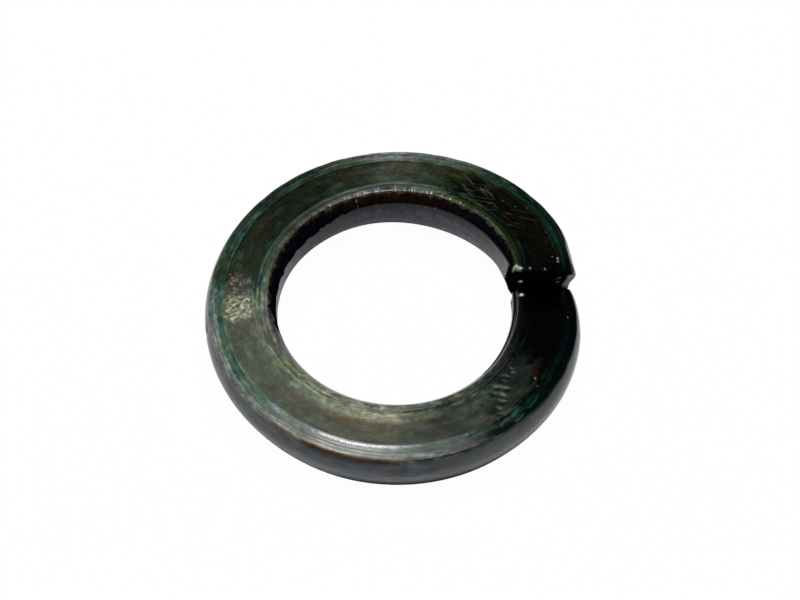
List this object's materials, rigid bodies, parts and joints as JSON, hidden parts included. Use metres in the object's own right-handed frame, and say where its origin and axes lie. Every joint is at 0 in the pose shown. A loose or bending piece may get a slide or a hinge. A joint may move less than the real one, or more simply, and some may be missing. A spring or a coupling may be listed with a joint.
{
  "type": "spring lock washer",
  "caption": "Helical spring lock washer: a coiled ring of flat-topped steel section, cut through so that its ends spring apart and bite under a nut or bolt head.",
  "frame": {"origin": "on the bore's axis, half way between the washer's lowest and highest points", "axes": "+Z along the bore's axis, towards the raised end's bearing face; the cut lies near +X, parallel to the X axis"},
  "size_m": [0.04, 0.04, 0.009],
  "materials": {
    "blackened_steel": "blackened and oiled spring steel, dark green-grey, with worn edges, pits and fine turning lines"
  },
  "bodies": {
    "root": {"washer": "blackened_steel"}
  },
  "joints": []
}
